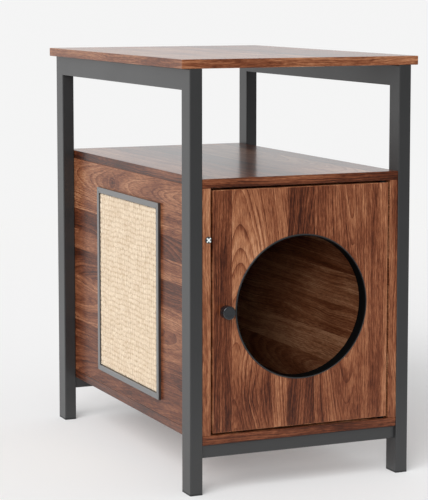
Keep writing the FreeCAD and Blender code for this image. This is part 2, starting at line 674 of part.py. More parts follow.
def knob():
    body = new_body("knob", KNOB_X, BOARD_FRONT, DOOR_LEVEL)
    bore = "screw_radius + hole_clearance"
    turned(body, "XY_Plane", [
        (bore, "0"), ("knob_radius", "0"), ("knob_radius", "-knob_length + knob_chamfer"),
        ("knob_radius - knob_chamfer", "-knob_length"), ("0", "-knob_length"),
        ("0", "-knob_bore_depth"), (bore, "-knob_bore_depth"),
    ])
    return body


def knob_screw():
    """The screw through the door from inside, as deep in the knob as its hole but for a clearance."""
    body = new_body("knob_screw", KNOB_X, DOOR_BACK, DOOR_LEVEL)
    tip = "-door_thickness - knob_bore_depth + hole_clearance"
    turned(body, "XY_Plane", [
        ("0", tip), ("screw_radius", tip), ("screw_radius", "0"), ("screw_head_radius", "0"),
        ("screw_head_radius", "screw_head_height"), ("0", "screw_head_height"),
    ])
    return body


def pivot(label, level, upward):
    """A pivot pin: seated in a board, with a collar, and reaching into the door's bush."""
    body = new_body(label, PIVOT_X, f"{BOARD_FRONT} + door_thickness / 2", level)
    shoulder = f"{upward} * (door_gap - bush_flange - pivot_play)"
    tip = f"{upward} * (door_gap + pivot_reach)"
    seat = f"{-upward} * pivot_seat"
    turned(body, "XZ_Plane", [
        ("0", seat), ("pivot_radius", seat), ("pivot_radius", "0"), ("pivot_flange_radius", "0"),
        ("pivot_flange_radius", shoulder), ("pivot_radius", shoulder), ("pivot_radius", tip),
        ("0", tip),
    ])
    return body


def pivot_bush(label, edge, upward):
    """A flanged bush let into the edge of the door."""
    body = new_body(label, PIVOT_X, f"{BOARD_FRONT} + door_thickness / 2",
                    f"{DOOR_LEVEL} {edge} {DOOR_HEIGHT} / 2")
    bore = "pivot_radius + pivot_clearance"
    flange = f"{-upward} * bush_flange"
    end = f"{upward} * bush_length"
    turned(body, "XZ_Plane", [
        (bore, flange), ("pivot_flange_radius", flange), ("pivot_flange_radius", "0"),
        (f"{bore} + bush_wall", "0"), (f"{bore} + bush_wall", end), (bore, end),
    ])
    return body


# ---------------------------------------------------------------- magnetic catch
MAGNET_LOW = f"({STRIKE_X} + {PANEL_INNER} - magnet_width / 2)"


def catch_housing():
    """A plastic housing screwed to the left board, open at the front for its magnet."""
    body = new_body("catch_housing", f"-{PANEL_INNER}", CATCH_Y, DOOR_LEVEL)
    base = new_sketch(body, "YZ_Plane")
    rectangle(base, "0", "-catch_base_length / 2",
              "catch_depth", "catch_base_length / 2")
    extrude(body, base, "catch_base_thickness")
    block = new_sketch(body, "YZ_Plane", "catch_base_thickness")
    rectangle(block, "0", "-catch_length / 2", "catch_depth", "catch_length / 2")
    extrude(body, block, "catch_width - catch_base_thickness")
    seat = new_sketch(body, "XZ_Plane")
    rectangle(seat, MAGNET_LOW, "-magnet_length / 2",
              f"{MAGNET_LOW} + magnet_width", "magnet_length / 2")
    cut(body, seat, "magnet_depth", 1)
    bored(body, "YZ_Plane", "0", CATCH_SCREWS, "small_screw_radius + hole_clearance",
          "catch_base_thickness", 1)
    return body


def catch_magnet():
    body = new_body("catch_magnet", f"-{PANEL_INNER}", CATCH_Y, DOOR_LEVEL)
    face = new_sketch(body, "XZ_Plane")
    rectangle(face, MAGNET_LOW, "-magnet_length / 2",
              f"{MAGNET_LOW} + magnet_width", "magnet_length / 2")
    extrude(body, face, "magnet_depth")
    return body


def small_screws(label, plane, x, y, z, places, seat, grip, inward):
    """Small pan-head screws: heads on the seat, shanks driven the inward way."""
    body = new_body(label, x, y, z)
    shank_sketch = new_sketch(body, plane, seat)
    circles(shank_sketch, places, "small_screw_radius")
    extrude(body, shank_sketch, grip, inward)
    head_sketch = new_sketch(body, plane, seat)
    circles(head_sketch, places, "small_head_radius")
    extrude(body, head_sketch, "small_head_height", -inward)
    return body


def strike_plate():
    body = new_body("strike_plate", STRIKE_X, DOOR_BACK, DOOR_LEVEL)
    plate = new_sketch(body, "XZ_Plane")
    rectangle(plate, "-strike_width / 2", "-strike_length / 2",
              "strike_width / 2", "strike_length / 2")
    circles(plate, STRIKE_SCREWS, "small_screw_radius + hole_clearance")
    extrude(body, plate, "strike_thickness")
    return body


# ---------------------------------------------------------------- scratch pad
def pad_frame_member(name, lengthwise, sign):
    """One mitred member of the pad frame, screwed on from inside the cabin."""
    body = new_body(f"scratch_frame_{name}", f"-{LEG_INNER}", PAD_Y, PAD_LEVEL)
    corners = []
    for inset in ("0", "pad_frame_width"):
        ends = (-1, 1) if inset == "0" else (1, -1)
        for end in ends:
            if lengthwise:
                corners.append((f"{end} * (pad_length / 2 - {inset})",
                                f"{sign} * (pad_height / 2 - {inset})"))
            else:
                corners.append((f"{sign} * (pad_length / 2 - {inset})",
                                f"{end} * (pad_height / 2 - {inset})"))
    member = new_sketch(body, "YZ_Plane")
    outline(member, corners)
    extrude(body, member, "pad_frame_thickness", -1)
    bored(body, "YZ_Plane", "0", PAD_SCREWS[name], "small_screw_radius", "pad_screw_grip", -1)
    return body


def sisal_mat():
    body = new_body("sisal_mat", f"-{LEG_INNER} - mat_clearance", PAD_Y, PAD_LEVEL)
    mat = new_sketch(body, "YZ_Plane")
    half_length = "(pad_length / 2 - pad_frame_width - mat_clearance)"
    half_height = "(pad_height / 2 - pad_frame_width - mat_clearance)"
    rectangle(mat, f"-{half_length}", f"-{half_height}", half_length, half_height)
    extrude(body, mat, "mat_thickness", -1)
    return body


# ---------------------------------------------------------------- the whole cabinet
parts = [leg(side, sign, end, inward) for side, sign in SIDES for end, inward in ENDS]
parts += [top_rail(side, sign) for side, sign in SIDES]
parts += [
    lower_rail("front", f"{FRONT} + tube_depth / 2"),
    lower_rail("rear", f"{REAR} - tube_depth / 2"),
    leg_end_caps(),
    rail_spigots(),
    bolts("rail_bolts", RAIL_BOLTS, f"-{LEG_INNER} + spigot_floor", "rail_bolt_length"),
    bolts("panel_bolts", PANEL_BOLTS, f"-{PANEL_INNER}", "panel_bolt_length"),
    leg_weld_nuts(),
    top_panel(),
    level_board("shelf_panel", CABIN_CEILING, "0", 1),
    bottom_panel(),
    left_side_panel(),
    side_panel("right", 1),
    back_panel(),
    screws("top_panel_screws", f"{FRONT} + frame_depth / 2", "frame_height", TOP_SCREWS,
           "-tube_wall"),
    screws("bottom_panel_screws", FRONT, f"{CABIN_FLOOR} - board_thickness", RAIL_SCREWS,
           "-tube_wall"),
    edge_screw(),
    cam_locks("left", -1),
    cam_locks("right", 1),
    cam_pins("shelf_cam_pins", CABIN_CEILING, 1),
    cam_pins("bottom_cam_pins", CABIN_FLOOR, -1),
    door_panel(),
    entry_ring(),
    ring_collar(),
    knob(),
    knob_screw(),
    pivot("lower_pivot_pin", CABIN_FLOOR, 1),
    pivot("upper_pivot_pin", CABIN_CEILING, -1),
    pivot_bush("lower_pivot_bush", "-", 1),
    pivot_bush("upper_pivot_bush", "+", -1),
    catch_housing(),
    catch_magnet(),
    small_screws("catch_screws", "YZ_Plane", f"-{PANEL_INNER}", CATCH_Y, DOOR_LEVEL, CATCH_SCREWS,
                 "catch_base_thickness", "catch_base_thickness + small_screw_grip", -1),
    strike_plate(),
    small_screws("strike_screws", "XZ_Plane", STRIKE_X, DOOR_BACK, DOOR_LEVEL, STRIKE_SCREWS,
                 "strike_thickness", "strike_thickness + small_screw_grip", -1),
    pad_frame_member("top", True, 1),
    pad_frame_member("bottom", True, -1),
    pad_frame_member("front", False, -1),
    pad_frame_member("rear", False, 1),
    sisal_mat(),
    small_screws("scratch_frame_screws", "YZ_Plane", f"-{PANEL_INNER}", PAD_Y, PAD_LEVEL,
                 ALL_PAD_SCREWS, "0", "board_thickness + pad_screw_grip", -1),
]
doc.recompute()

# ---------------------------------------------------------------- checks and files
for item in doc.Objects:
    if "Invalid" in item.State or "Error" in item.State:
        raise RuntimeError(f"{item.Name} is {item.State}")
for part in parts:
    if part.Shape.isNull() or not part.Shape.isValid():
        raise RuntimeError(f"{part.Label} has no valid shape")

os.makedirs("parts", exist_ok=True)
for part in parts:
    part.Shape.exportStep(f"parts/{part.Label}.step")
    print(part.Label, len(part.Shape.Solids), round(part.Shape.Volume))
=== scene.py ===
import math
import random

import bmesh
import bpy
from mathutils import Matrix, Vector


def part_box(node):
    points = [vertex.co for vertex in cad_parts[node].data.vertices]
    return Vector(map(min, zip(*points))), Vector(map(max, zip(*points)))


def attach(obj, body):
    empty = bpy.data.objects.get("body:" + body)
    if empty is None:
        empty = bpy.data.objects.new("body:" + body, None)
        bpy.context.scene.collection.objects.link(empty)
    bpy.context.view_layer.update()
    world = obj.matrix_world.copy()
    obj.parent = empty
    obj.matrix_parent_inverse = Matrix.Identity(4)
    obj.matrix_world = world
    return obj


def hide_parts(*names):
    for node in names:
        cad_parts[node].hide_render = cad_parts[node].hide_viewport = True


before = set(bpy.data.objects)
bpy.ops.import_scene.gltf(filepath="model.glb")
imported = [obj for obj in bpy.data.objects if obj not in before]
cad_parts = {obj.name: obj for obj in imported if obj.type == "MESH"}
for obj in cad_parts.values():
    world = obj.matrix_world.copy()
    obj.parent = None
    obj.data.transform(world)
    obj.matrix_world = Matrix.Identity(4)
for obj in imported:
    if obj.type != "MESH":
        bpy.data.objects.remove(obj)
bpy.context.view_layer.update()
scene = bpy.context.scene
scene.view_settings.view_transform = "Standard"


# ---------------------------------------------------------------- steel frame
# Two side frames of mitred rectangular steel tube and two square rails between them, welded,
# ground smooth and powder coated satin black. The coat has a fine orange peel.
def connect(tree, source, target):
    """Wires a node's output, or sets a plain value, on another node's input."""
    if isinstance(source, bpy.types.NodeSocket):
        tree.links.new(source, target)
    else:
        target.default_value = source


def add_node(tree, kind, settings=None, **inputs):
    """A node of a kind with its settings, and its inputs given by name."""
    node = tree.nodes.new(f"ShaderNode{kind}")
    for name, setting in (settings or {}).items():
        setattr(node, name, setting)
    for name, source in inputs.items():
        connect(tree, source, node.inputs[name.replace("_", " ")])
    return node


def set_inputs(node, **values):
    """Sets plain values on a node's inputs, given by name."""
    for name, value in values.items():
        node.inputs[name.replace("_", " ")].default_value = value


def sums(tree, operation, *terms):
    """The output of a Math node."""
    node = tree.nodes.new("ShaderNodeMath")
    node.operation = operation
    for socket, term in zip(node.inputs, terms):
        connect(tree, term, socket)
    return node.outputs[0]


def scaled(tree, source, centre, gain):
    """How far a value lies from its centre, times a gain."""
    return sums(tree, "MULTIPLY", sums(tree, "SUBTRACT", source, centre), gain)


def noise(tree, vector, scale=1.0, detail=2.0, roughness=0.5):
    node = add_node(tree, "TexNoise", None, Vector=vector, Scale=scale, Detail=detail,
                    Roughness=roughness)
    return node.outputs["Fac"]


def surface_group(name, inputs, outputs):
    """An empty shader node group with named sockets; gives the group and its two end nodes."""
    group = bpy.data.node_groups.new(name, "ShaderNodeTree")
    for way, sockets in (("INPUT", inputs), ("OUTPUT", outputs)):
        for socket_name, kind, *start in sockets:
            socket = group.interface.new_socket(socket_name, in_out=way,
                                                socket_type=f"NodeSocket{kind}")
            if start:
                socket.default_value = start[0]
    return (group, group.nodes.new("NodeGroupInput").outputs,
            group.nodes.new("NodeGroupOutput").inputs)


def new_finish(name):
    """A material with an empty Principled surface; gives the material, its tree and the surface."""
    material = bpy.data.materials.new(name)
    material.use_nodes = True
    tree = material.node_tree
    tree.nodes.clear()
    surface = tree.nodes.new("ShaderNodeBsdfPrincipled")
    output = tree.nodes.new("ShaderNodeOutputMaterial")
    tree.links.new(surface.outputs["BSDF"], output.inputs["Surface"])
    return material, tree, surface


def wire_surface(tree, surface, pattern, strength, distance):
    """Feeds a pattern's colour, roughness and height to the surface."""
    bump = add_node(tree, "Bump", None, Strength=strength, Distance=distance,
                    Height=pattern.outputs["Height"])
    connect(tree, pattern.outputs["Color"], surface.inputs["Base Color"])
    connect(tree, pattern.outputs["Roughness"], surface.inputs["Roughness"])
    connect(tree, bump.outputs["Normal"], surface.inputs["Normal"])


def fine_coat():
    """Cloudy colour, roughness and peel of a sprayed or moulded surface, in object space."""
    group, inputs, outputs = surface_group(
        "fine_coat",
        [("Base", "Color"), ("Variation", "Float", 0.1), ("Gloss Spread", "Float", 0.04),
         ("Roughness", "Float", 0.4), ("Peel Scale", "Float", 900.0)],
        [("Color", "Color"), ("Roughness", "Float"), ("Height", "Float")])
    place = group.nodes.new("ShaderNodeTexCoord").outputs["Object"]
    cloud = noise(group, place, 7.0, 4.0, 0.6)
    peel = noise(group, place, inputs["Peel Scale"], 2.0)
    spread = sums(group, "MULTIPLY", scaled(group, cloud, 0.5, 4.0), inputs["Variation"])
    bright = add_node(group, "HueSaturation", None, Color=inputs["Base"],
                      Value=sums(group, "ADD", 1.0, spread))
    connect(group, bright.outputs["Color"], outputs["Color"])
    change = sums(group, "MULTIPLY", scaled(group, cloud, 0.5, 4.0), inputs["Gloss Spread"])
    connect(group, sums(group, "ADD", inputs["Roughness"], change), outputs["Roughness"])
    connect(group, peel, outputs["Height"])
    return group


coat_group = fine_coat()
peel_depth = 0.0002


def coated(name, colour, roughness, peel_scale=900.0, peel=0.1, variation=0.08, specular=0.5,
           metallic=0.0):
    """A plain sprayed, plated or moulded finish."""
    material, tree, surface = new_finish(name)
    coat = tree.nodes.new("ShaderNodeGroup")
    coat.node_tree = coat_group
    set_inputs(coat, Base=(*colour, 1), Roughness=roughness, Peel_Scale=peel_scale,
               Variation=variation)
    wire_surface(tree, surface, coat, peel, peel_depth)
    set_inputs(surface, Specular_IOR_Level=specular, Metallic=metallic)
    return material


def dress(material, *nodes):
    """Gives the nodes of the frame their finish."""
    for node in nodes:
        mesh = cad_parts[node].data
        mesh.materials.clear()
        mesh.materials.append(material)


black_coat = coated("black_powder_coat", (0.020, 0.0205, 0.021), 0.33, 1100.0, 0.06,
                    specular=0.72)
dress(black_coat, "left_front_leg", "left_rear_leg", "right_front_leg", "right_rear_leg",
      "left_top_rail", "right_top_rail", "front_lower_rail", "rear_lower_rail")

# ---------------------------------------------------------------- end caps and rail spigots
# Black moulded plastic: plugs with a plate under each leg, and the blocks that the square rails
# slide over. Fine matt grain.
black_plastic = coated("black_moulded_plastic", (0.014, 0.0145, 0.015), 0.48, 2200.0, 0.25)
dress(black_plastic, "leg_end_caps", "rail_spigots")

# ---------------------------------------------------------------- frame bolts and nuts
# Zinc-plated hexagon bolts that hold the rails and the boards, and the nuts that are welded
# inside the legs for them. The plating is slightly dull and uneven.
zinc = coated("zinc_plate", (0.56, 0.57, 0.58), 0.32, 420.0, 0.15, 0.12, metallic=1.0)
dress(zinc, "rail_bolts", "panel_bolts", "leg_weld_nuts")


# ---------------------------------------------------------------- walnut boards
# Particle board pressed with a satin walnut print, edge-banded all round. The print shows planks
# side by side, each with its own tone, growth rings, knots, streaks and open pores.
def remapped(tree, source, low, high, to_low=0.0, to_high=1.0):
    """A value carried from one range to another."""
    node = add_node(tree, "MapRange", None, Value=source, From_Min=low, From_Max=high,
                    To_Min=to_low, To_Max=to_high)
    return node.outputs["Result"]


def blended(tree, blend, factor, first, second):
    """Two colours mixed in one of the Mix node's ways."""
    node = tree.nodes.new("ShaderNodeMix")
    node.data_type = "RGBA"
    node.blend_type = blend
    for socket, source in zip((node.inputs[0], node.inputs[6], node.inputs[7]),
                              (factor, first, second)):
        connect(tree, (*source, 1) if isinstance(source, tuple) else source, socket)
    return node.outputs[2]


def set_stops(ramp, stops):
    """Lays (place, colour) stops on a colour ramp."""
    elements = ramp.color_ramp.elements
    while len(elements) < len(stops):
        elements.new(0.5)
    while len(elements) > len(stops):
        elements.remove(elements[-1])
    for element, (place, colour) in zip(list(elements), stops):
        element.position = place
        element.color = (*colour, 1)


def walnut_print():
    """The print for one place: X runs along the grain, Y across it and Z is the board's number."""
    tree, inputs, outputs = surface_group(
        "walnut_print",
        [("Vector", "Vector"), ("Tone", "Float", 0.5), ("Heart", "Float", 0.3),
         ("Start", "Float", 0.3), ("Knot", "Float", 0.0)],
        [("Color", "Color"), ("Roughness", "Float"), ("Height", "Float")])

    def at(x, y, z):
        return add_node(tree, "CombineXYZ", None, X=x, Y=y, Z=z).outputs[0]

    def times(source, gain):
        return sums(tree, "MULTIPLY", source, gain)

    def plus(*sources):
        total = sources[0]
        for source in sources[1:]:
            total = sums(tree, "ADD", total, source)
        return total

    along, across, board = add_node(tree, "SeparateXYZ", None, Vector=inputs["Vector"]).outputs
    plank = plus(board, times(inputs["Heart"], 37.0))
    # the grain wanders: slow bends over a hand's breadth and short waves on top
    bend = noise(tree, at(times(along, 3.5), times(across, 8.0), plank), 1.0, 1.0)
    wave = noise(tree, at(times(along, 15.0), times(across, 30.0), plank), 1.0, 2.0)
    bent = plus(across, scaled(tree, bend, 0.5, 0.034), scaled(tree, wave, 0.5, 0.0055))
    # growth rings: the distance to the heart of a tapering log, pushed aside by knots
    local = sums(tree, "SUBTRACT", bent, inputs["Heart"])
    depth = times(plus(along, inputs["Start"]), 0.095)
    radius = sums(tree, "SQRT", plus(sums(tree, "MULTIPLY", local, local),
                                     sums(tree, "MULTIPLY", depth, depth)))
    radius = plus(radius, times(inputs["Knot"], 0.012))
    uneven = noise(tree, at(times(radius, 110.0), times(along, 1.4), plank), 1.0, 2.0)
    ring = sums(tree, "FRACT", plus(times(radius, 250.0), times(uneven, 3.4)))
    ring = sums(tree, "POWER", ring, 3.2)
    # streaks follow the rings, fibres and pores follow the grain
    band = noise(tree, at(times(along, 1.7), times(radius, 60.0), plank), 1.0, 2.0)
    streak = noise(tree, at(times(along, 4.0), times(radius, 260.0), plank), 1.0, 2.0, 0.6)
    fibre = noise(tree, at(times(along, 60.0), times(bent, 560.0), plank), 1.0, 3.0, 0.8)
    cloud = noise(tree, at(times(along, 11.0), times(across, 26.0), plank), 1.0, 2.0)
    dashes = noise(tree, at(times(along, 58.0), times(bent, 540.0), plank), 1.0, 1.0)
    pores = noise(tree, at(times(along, 170.0), times(bent, 1300.0), plank), 1.0, 1.0)
    pore = sums(tree, "MAXIMUM", remapped(tree, dashes, 0.56, 0.66),
                times(remapped(tree, pores, 0.58, 0.68), 0.6))
    strength = remapped(tree, band, 0.35, 0.65, 0.35, 1.0)
    level = plus(inputs["Tone"], times(sums(tree, "MULTIPLY", ring, strength), -0.40),
                 scaled(tree, band, 0.5, 0.95), scaled(tree, streak, 0.5, 0.70),
                 scaled(tree, fibre, 0.5, 1.15), scaled(tree, cloud, 0.5, 0.60),
                 times(inputs["Knot"], -0.5), 0.12)
    ramp = add_node(tree, "ValToRGB", None, Fac=level)
    set_stops(ramp, ((0.00, (0.026, 0.006, 0.002)), (0.25, (0.088, 0.021, 0.007)),
                     (0.50, (0.182, 0.058, 0.024)), (0.75, (0.298, 0.122, 0.057)),
                     (1.00, (0.450, 0.225, 0.120))))
    connect(tree, blended(tree, "MULTIPLY", times(pore, 0.50), ramp.outputs["Color"],
                          (0.40, 0.30, 0.26)), outputs["Color"])
    connect(tree, plus(times(fibre, 0.12), 0.30), outputs["Roughness"])
    connect(tree, plus(times(fibre, 0.35), times(pore, -1.0)), outputs["Height"])
    return tree


walnut_group = walnut_print()
print_depth = 0.00015


def walnut(name, grain, across, start, planks, number, sheen=0.3, knots=()):
    """Walnut print with its grain along one axis, or round the corner along X and Y. Planks are
    (width, tone, heart, start of the taper), in metres, laid from a coordinate on the other axis
    upwards. Knots are (place along, place across, size)."""
    material, tree, surface = new_finish(name)
    place = tree.nodes.new("ShaderNodeTexCoord").outputs["Object"]
    axes = dict(zip("XYZ", add_node(tree, "SeparateXYZ", None, Vector=place).outputs))
    axes["XY"] = sums(tree, "ADD", axes["X"], axes["Y"])
    width = sum(plank[0] for plank in planks)
    lay = add_node(tree, "ValToRGB", None,
                   Fac=remapped(tree, axes[across], start, start + width))
    lay.color_ramp.interpolation = "CONSTANT"
    edge, stops = 0.0, []
    for plank_width, tone, heart, taper_start in planks:
        stops.append((edge / width, (tone, heart / 2 + 0.5, taper_start / 2 + 0.5)))
        edge += plank_width
    set_stops(lay, stops)
    tone, heart, taper_start = add_node(tree, "SeparateColor", None,
                                        Color=lay.outputs["Color"]).outputs
    pattern = tree.nodes.new("ShaderNodeGroup")
    pattern.node_tree = walnut_group
    connect(tree, add_node(tree, "CombineXYZ", None, X=axes[grain], Y=axes[across],
                           Z=number).outputs[0], pattern.inputs["Vector"])
    connect(tree, tone, pattern.inputs["Tone"])
    connect(tree, scaled(tree, heart, 0.5, 2.0), pattern.inputs["Heart"])
    connect(tree, scaled(tree, taper_start, 0.5, 2.0), pattern.inputs["Start"])
    for knot_along, knot_across, size in knots:
        spot = add_node(tree, "CombineXYZ", None,
                        X=scaled(tree, axes[grain], knot_along, 0.55),
                        Y=sums(tree, "SUBTRACT", axes[across], knot_across), Z=0.0)
        away = add_node(tree, "VectorMath", {"operation": "LENGTH"})
        connect(tree, spot.outputs[0], away.inputs[0])
        connect(tree, remapped(tree, away.outputs["Value"], size, 0.0), pattern.inputs["Knot"])
    wire_surface(tree, surface, pattern, 0.3, print_depth)
    set_inputs(surface, Specular_IOR_Level=0.15, Coat_Weight=sheen, Coat_Roughness=0.17,
               Coat_IOR=1.45)
    return material


def random_planks(seed, width, widths, tones, reach):
    """Planks of a board nobody laid out by hand, from a seeded draw."""
    draw = random.Random(seed)
    planks, edge = [], 0.0
    while edge < width - 1e-6:
        plank = min(draw.uniform(*widths), width - edge)
        if width - edge - plank < widths[0] / 2:
            plank = width - edge
        heart = draw.uniform(-reach, reach)
        taper_start = draw.choice((-1, 1)) * draw.uniform(0.45, 0.8)
        planks.append((plank, draw.uniform(*tones), heart, taper_start))
        edge += plank
    return planks


def link(name, mesh):
    piece = bpy.data.objects.new(name, mesh)
    scene.collection.objects.link(piece)
    return piece


def apply_modifiers(piece):
    depsgraph = bpy.context.evaluated_depsgraph_get()
    piece.data = bpy.data.meshes.new_from_object(piece.evaluated_get(depsgraph))
    piece.modifiers.clear()


def mesh_of(name, shape):
    """The mesh of a finished shape."""
    mesh = bpy.data.meshes.new(name)
    shape.to_mesh(mesh)
    shape.free()
    return mesh


def closed_mesh(name, shape):
    """The mesh of a closed shape, with its faces turned outward."""
    bmesh.ops.recalc_face_normals(shape, faces=shape.faces)
    return mesh_of(name, shape)


def round_edges(piece, width, segments=3, finish=-1):
    """Rounds every sharp edge of a piece, with one of its finishes or that of the faces beside."""
    modifier = piece.modifiers.new("edge_rounding", "BEVEL")
    modifier.width = width
    modifier.segments = segments
    modifier.material = finish
    modifier.limit_method = "ANGLE"
    modifier.angle_limit = sharp_angle
    apply_modifiers(piece)


def seat(piece, body, slot, *nodes):
    """The piece stands for its nodes and moves with their body. The slot is not used."""
    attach(piece, body)
    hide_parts(*nodes)


sharp_angle = math.radians(40)
board_rounding = 0.0011
edge_band = 1


def box_mesh(name, low, high):
    shape = bmesh.new()
    bmesh.ops.create_cube(shape, size=1)
    low, high = Vector(low), Vector(high)
    for corner in shape.verts:
        corner.co = (low + high) / 2 + Vector(a * b for a, b in zip(corner.co, high - low))
    return mesh_of(name, shape)


def band_edges(mesh, thin_axis, print_finish, band_finish):
    """The broad faces get the print and the narrow ones the edge band."""
    mesh.materials.append(print_finish)
    mesh.materials.append(band_finish)
    for face in mesh.polygons:
        face.material_index = 0 if abs(face.normal[thin_axis]) > 0.5 else edge_band


def board(node, print_finish, band_finish, cutter=None):
    """A banded board in the place of its node; a cutter takes its fittings' pockets out."""
    low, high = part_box(node)
    thin_axis = min(range(3), key=lambda axis: high[axis] - low[axis])
    mesh = box_mesh(f"{node}_board", low, high)
    band_edges(mesh, thin_axis, print_finish, band_finish)
    piece = link(f"{node}_board", mesh)
    round_edges(piece, board_rounding, finish=edge_band)
    if cutter:
        pockets = piece.modifiers.new("pockets", "BOOLEAN")
        pockets.object = cutter
        pockets.solver = "EXACT"
        apply_modifiers(piece)
        bpy.data.objects.remove(cutter)
    seat(piece, "cabinet", "walnut_board", node)


def lengthwise_band(name, tone, number):
    return walnut(name, "XY", "Z", 0.0, [(0.75, tone, 0.9, 0.3)], number)


def upright_band(name, tone, number):
    return walnut(name, "Z", "X", -0.2, [(0.4, tone, 0.9, 0.3)], number)


top_planks = random_planks(11, 0.43, (0.05, 0.09), (0.16, 0.66), 0.4)
board("top_panel", walnut("walnut_top", "Y", "X", -0.215, top_planks, 1.3, 0.55),
      lengthwise_band("walnut_top_band", 0.56, 3.1))
shelf_planks = random_planks(5, 0.36, (0.05, 0.09), (0.05, 0.72), 0.4)
lower_band = lengthwise_band("walnut_lower_band", 0.12, 5.7)
board("shelf_panel", walnut("walnut_shelf", "Y", "X", -0.18, shelf_planks, 2.6, 0.55),
      lower_band)
board("bottom_panel", walnut("walnut_bottom", "Y", "X", -0.18, shelf_planks, 8.2), lower_band)
back_band = upright_band("walnut_back_band", 0.5, 7.9)
board("back_panel", walnut("walnut_back", "Z", "X", -0.18, shelf_planks, 9.3), back_band)


# ---------------------------------------------------------------- side boards and cam locks
# The side boards' planks lie level. Each board has four zinc cam locks in round pockets on the
# cabin side, which draw in the pins of the shelf and the bottom board.
def turned_rings(shape, rings, steps, centre, out, side):
    """Adds rings of a turned form: each is (radius, height along out) about the centre."""
    up = out.cross(side)
    loops = []
    for radius, height in rings:
        loop = []
        for step in range(steps):
            angle = math.tau * step / steps
            loop.append(shape.verts.new(centre + out * height
                                        + (side * math.cos(angle) + up * math.sin(angle)) * radius))
        loops.append(loop)
    for inner, outer in zip(loops, loops[1:]):
        for step in range(steps):
            following = (step + 1) % steps
            shape.faces.new((inner[step], inner[following], outer[following], outer[step]))
    return loops


def cross_recess(shape, head, centre, out, side, reach, width, depth):
    """Closes the head's ring with a flat face that has a cross-shaped driver recess in it."""
    up = out.cross(side)
    half = width / 2
    corners = [(reach, half), (half, half), (half, reach), (-half, reach), (-half, half),
               (-reach, half), (-reach, -half), (-half, -half), (-half, -reach), (half, -reach),
               (half, -half), (reach, -half)]
    height = (head[0].co - centre).dot(out)
    lips = [shape.verts.new(centre + out * height + side * x + up * y) for x, y in corners]
    floors = [shape.verts.new(centre + out * (height - depth) + (side * x + up * y) * 0.8)
              for x, y in corners]
    turns = [math.atan2(y, x) % math.tau for x, y in corners]
    rim, lip = 0, 0
    while rim < len(head) or lip < len(lips):
        rim_turn = math.tau * (rim + 1) / len(head)
        lip_turn = turns[lip + 1] if lip < 11 else math.tau + turns[(lip + 1) % 12]
        outer, inner = head[rim % len(head)], lips[lip % 12]
        if lip == 12 or (rim < len(head) and rim_turn < lip_turn):
            rim += 1
            shape.faces.new((outer, head[rim % len(head)], inner))
        else:
            lip += 1
            shape.faces.new((outer, lips[lip % 12], inner))
    recess = [shape.faces.new((lips[index], lips[(index + 1) % 12], floors[(index + 1) % 12],
                               floors[index])) for index in range(12)]
    recess.append(shape.faces.new(floors))
    for face in recess:
        face.material_index = 1


def driven_pieces(name, places, out, side, profile, recess, finishes, steps=28):
    """Like screws or cams: turned forms with a cross recess in their heads, in one piece.
    The profile runs from the head's face to the tip."""
    shape = bmesh.new()
    for place in places:
        loops = turned_rings(shape, profile, steps, Vector(place), out, side)
        cross_recess(shape, loops[0], Vector(place), out, side, *recess)
        shape.faces.new(loops[-1])
    mesh = closed_mesh(name, shape)
    for finish in finishes:
        mesh.materials.append(finish)
    return link(name, mesh)


cam_radius = 0.0075
cam_inset = 0.0002
cam_depth = 0.012
cam_chamfer = 0.0006
cam_recess = (0.0038, 0.0016, 0.0025)
pocket_play = 0.0001
pocket_depth = 0.0122
upward = Vector((0, 0, 1))
left_planks = [
    (0.052, 0.36, 0.085, 0.30), (0.046, 0.26, -0.10, 0.40), (0.050, 0.44, 0.24, -0.30),
    (0.038, 0.54, 0.60, 0.40), (0.048, 0.22, 0.26, 0.35), (0.036, 0.50, 0.15, 0.40),
    (0.040, 0.20, 0.36, -0.35), (0.044, 0.52, 0.62, 0.40), (0.049, 0.57, 0.47, 0.30),
]
right_planks = [
    (0.058, 0.55, 0.13, 0.30), (0.052, 0.78, -0.10, 0.40), (0.055, 0.50, 0.64, 0.35),
    (0.060, 0.62, 0.50, 0.40), (0.045, 0.42, 0.60, 0.20), (0.053, 0.86, 0.10, 0.40),
    (0.042, 0.56, 0.86, -0.35), (0.038, 0.66, 0.62, 0.40),
]
left_knots = [(0.088, 0.471, 0.019)]
for side, out, planks, number, knots, tone in (
        ("left", 1, left_planks, 4.4, left_knots, 0.66),
        ("right", -1, right_planks, 6.1, (), 0.40)):
    low, high = (Vector(corner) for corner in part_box(f"{side}_cam_locks"))
    cabin_face = high.x if out > 0 else low.x
    cams = [(cabin_face, y, z) for y in (low.y + cam_radius, high.y - cam_radius)
            for z in (low.z + cam_radius, high.z - cam_radius)]
    outward = Vector((out, 0, 0))
    pocket_shape = bmesh.new()
    for place in cams:
        loops = turned_rings(pocket_shape, [(cam_radius + pocket_play, 0.002),
                                            (cam_radius + pocket_play, -pocket_depth)],
                             40, Vector(place), outward, upward)
        pocket_shape.faces.new(loops[0])
        pocket_shape.faces.new(loops[1])
    cutter = link(f"{side}_pockets", closed_mesh(f"{side}_pockets", pocket_shape))
    low_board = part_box(f"{side}_side_panel")[0]
    print_finish = walnut(f"walnut_{side}_side", "Y", "Z", low_board[2], planks, number, 0.14,
                          knots)
    board(f"{side}_side_panel", print_finish,
          upright_band(f"walnut_{side}_band", tone, number + 1), cutter)
    cam_profile = [(cam_radius - cam_chamfer, -cam_inset),
                   (cam_radius, -cam_inset - cam_chamfer), (cam_radius, -cam_depth)]
    piece = driven_pieces(f"{side}_cams", cams, outward, upward, cam_profile, cam_recess,
                          (zinc, zinc))
    seat(piece, "cabinet", "zinc_hardware", f"{side}_cam_locks")
dress(zinc, "shelf_cam_pins", "bottom_cam_pins", "top_panel_screws", "bottom_panel_screws")
